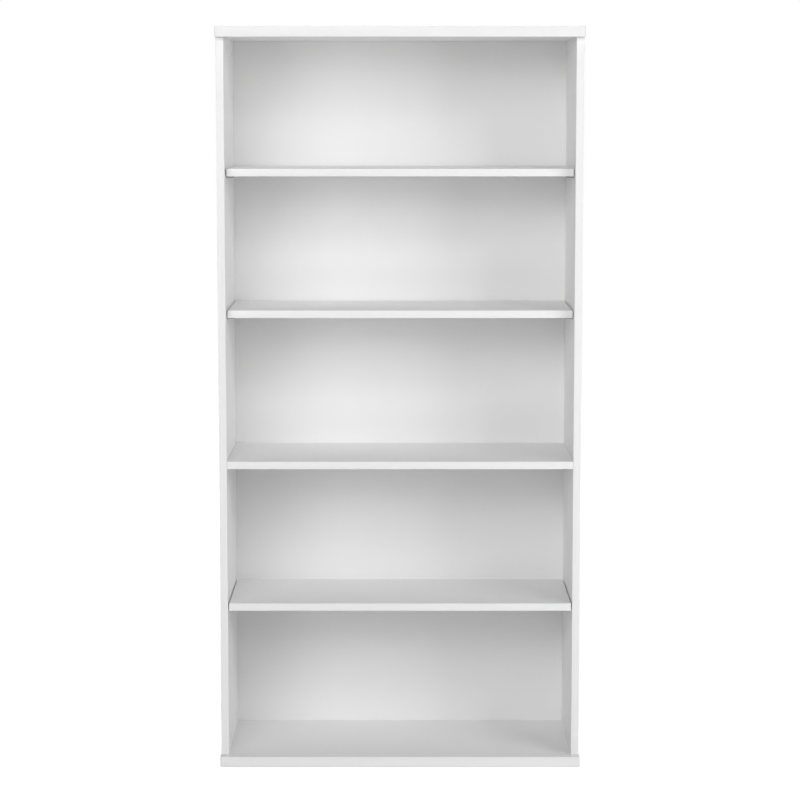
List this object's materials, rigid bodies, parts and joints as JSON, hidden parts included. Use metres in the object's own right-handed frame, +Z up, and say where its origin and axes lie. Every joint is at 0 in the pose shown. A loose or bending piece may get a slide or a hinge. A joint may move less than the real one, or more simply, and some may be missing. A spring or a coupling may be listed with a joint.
{
  "type": "bookcase with adjustable shelves",
  "caption": "Tall open bookcase of white laminated board, with a fixed middle shelf, adjustable shelves on pull-out pins, and top and bottom boards that stand proud in front.",
  "frame": {"origin": "on the floor, under the middle of the bookcase", "axes": "+X to the right of a person who stands in front, +Y to the back, +Z up"},
  "size_m": [0.906, 0.39, 1.851],
  "materials": {
    "white_laminate": "satin",
    "white_edge_band": "satin",
    "white_hardboard": "satin",
    "raw_hardboard": "matte",
    "raw_particleboard": "matte",
    "nickel_plated_steel": "gloss",
    "zinc_alloy": "satin",
    "beech": "matte",
    "white_plastic": "satin"
  },
  "bodies": {
    "case": {"top_panel": "white_laminate", "bottom_panel": "white_laminate", "left_side_panel": "white_laminate", "right_side_panel": "white_laminate", "fixed_shelf": "white_laminate", "back_panel": "white_hardboard", "cam_lock_top_left_front": "zinc_alloy", "cam_lock_top_left_rear": "zinc_alloy", "cam_lock_top_right_front": "zinc_alloy", "cam_lock_top_right_rear": "zinc_alloy", "cam_lock_bottom_left_front": "zinc_alloy", "cam_lock_bottom_left_rear": "zinc_alloy", "cam_lock_bottom_right_front": "zinc_alloy", "cam_lock_bottom_right_rear": "zinc_alloy", "cam_lock_shelf_left_front": "zinc_alloy", "cam_lock_shelf_left_rear": "zinc_alloy", "cam_lock_shelf_right_front": "zinc_alloy", "cam_lock_shelf_right_rear": "zinc_alloy", "cam_bolt_top_left_front": "zinc_alloy", "cam_bolt_top_left_rear": "zinc_alloy", "cam_bolt_top_right_front": "zinc_alloy", "cam_bolt_top_right_rear": "zinc_alloy", "cam_bolt_bottom_left_front": "zinc_alloy", "cam_bolt_bottom_left_rear": "zinc_alloy", "cam_bolt_bottom_right_front": "zinc_alloy", "cam_bolt_bottom_right_rear": "zinc_alloy", "cam_bolt_shelf_left_front": "zinc_alloy", "cam_bolt_shelf_left_rear": "zinc_alloy", "cam_bolt_shelf_right_front": "zinc_alloy", "cam_bolt_shelf_right_rear": "zinc_alloy", "dowel_top_left": "beech", "dowel_top_right": "beech", "dowel_bottom_left": "beech", "dowel_bottom_right": "beech", "dowel_shelf_left": "beech", "dowel_shelf_right": "beech", "glide_left_front": "white_plastic", "glide_left_rear": "white_plastic", "glide_right_front": "white_plastic", "glide_right_rear": "white_plastic"},
    "lower_shelf": {"lower_adjustable_shelf": "white_laminate"},
    "middle_shelf": {"middle_adjustable_shelf": "white_laminate"},
    "upper_shelf": {"upper_adjustable_shelf": "white_laminate"},
    "lower_left_front_pin": {"lower_left_front_pin": "nickel_plated_steel"},
    "lower_left_rear_pin": {"lower_left_rear_pin": "nickel_plated_steel"},
    "lower_right_front_pin": {"lower_right_front_pin": "nickel_plated_steel"},
    "lower_right_rear_pin": {"lower_right_rear_pin": "nickel_plated_steel"},
    "middle_left_front_pin": {"middle_left_front_pin": "nickel_plated_steel"},
    "middle_left_rear_pin": {"middle_left_rear_pin": "nickel_plated_steel"},
    "middle_right_front_pin": {"middle_right_front_pin": "nickel_plated_steel"},
    "middle_right_rear_pin": {"middle_right_rear_pin": "nickel_plated_steel"},
    "upper_left_front_pin": {"upper_left_front_pin": "nickel_plated_steel"},
    "upper_left_rear_pin": {"upper_left_rear_pin": "nickel_plated_steel"},
    "upper_right_front_pin": {"upper_right_front_pin": "nickel_plated_steel"},
    "upper_right_rear_pin": {"upper_right_rear_pin": "nickel_plated_steel"}
  },
  "joints": [
    {"name": "adjustable_shelf_lower_lift", "type": "slide", "parent": "case", "child": "lower_shelf", "axis": [0, 0, 1], "range_m": [0, 0.064]},
    {"name": "adjustable_shelf_middle_lift", "type": "slide", "parent": "case", "child": "middle_shelf", "axis": [0, 0, 1], "range_m": [0, 0.064]},
    {"name": "adjustable_shelf_upper_lift", "type": "slide", "parent": "case", "child": "upper_shelf", "axis": [0, 0, 1], "range_m": [0, 0.064]},
    {"name": "shelf_pin_lower_left_front_pull", "type": "slide", "parent": "case", "child": "lower_left_front_pin", "axis": [1, 0, 0], "range_m": [0, 0.01]},
    {"name": "shelf_pin_lower_left_rear_pull", "type": "slide", "parent": "case", "child": "lower_left_rear_pin", "axis": [1, 0, 0], "range_m": [0, 0.01]},
    {"name": "shelf_pin_lower_right_front_pull", "type": "slide", "parent": "case", "child": "lower_right_front_pin", "axis": [-1, 0, 0], "range_m": [0, 0.01]},
    {"name": "shelf_pin_lower_right_rear_pull", "type": "slide", "parent": "case", "child": "lower_right_rear_pin", "axis": [-1, 0, 0], "range_m": [0, 0.01]},
    {"name": "shelf_pin_middle_left_front_pull", "type": "slide", "parent": "case", "child": "middle_left_front_pin", "axis": [1, 0, 0], "range_m": [0, 0.01]},
    {"name": "shelf_pin_middle_left_rear_pull", "type": "slide", "parent": "case", "child": "middle_left_rear_pin", "axis": [1, 0, 0], "range_m": [0, 0.01]},
    {"name": "shelf_pin_middle_right_front_pull", "type": "slide", "parent": "case", "child": "middle_right_front_pin", "axis": [-1, 0, 0], "range_m": [0, 0.01]},
    {"name": "shelf_pin_middle_right_rear_pull", "type": "slide", "parent": "case", "child": "middle_right_rear_pin", "axis": [-1, 0, 0], "range_m": [0, 0.01]},
    {"name": "shelf_pin_upper_left_front_pull", "type": "slide", "parent": "case", "child": "upper_left_front_pin", "axis": [1, 0, 0], "range_m": [0, 0.01]},
    {"name": "shelf_pin_upper_left_rear_pull", "type": "slide", "parent": "case", "child": "upper_left_rear_pin", "axis": [1, 0, 0], "range_m": [0, 0.01]},
    {"name": "shelf_pin_upper_right_front_pull", "type": "slide", "parent": "case", "child": "upper_right_front_pin", "axis": [-1, 0, 0], "range_m": [0, 0.01]},
    {"name": "shelf_pin_upper_right_rear_pull", "type": "slide", "parent": "case", "child": "upper_right_rear_pin", "axis": [-1, 0, 0], "range_m": [0, 0.01]}
  ]
}
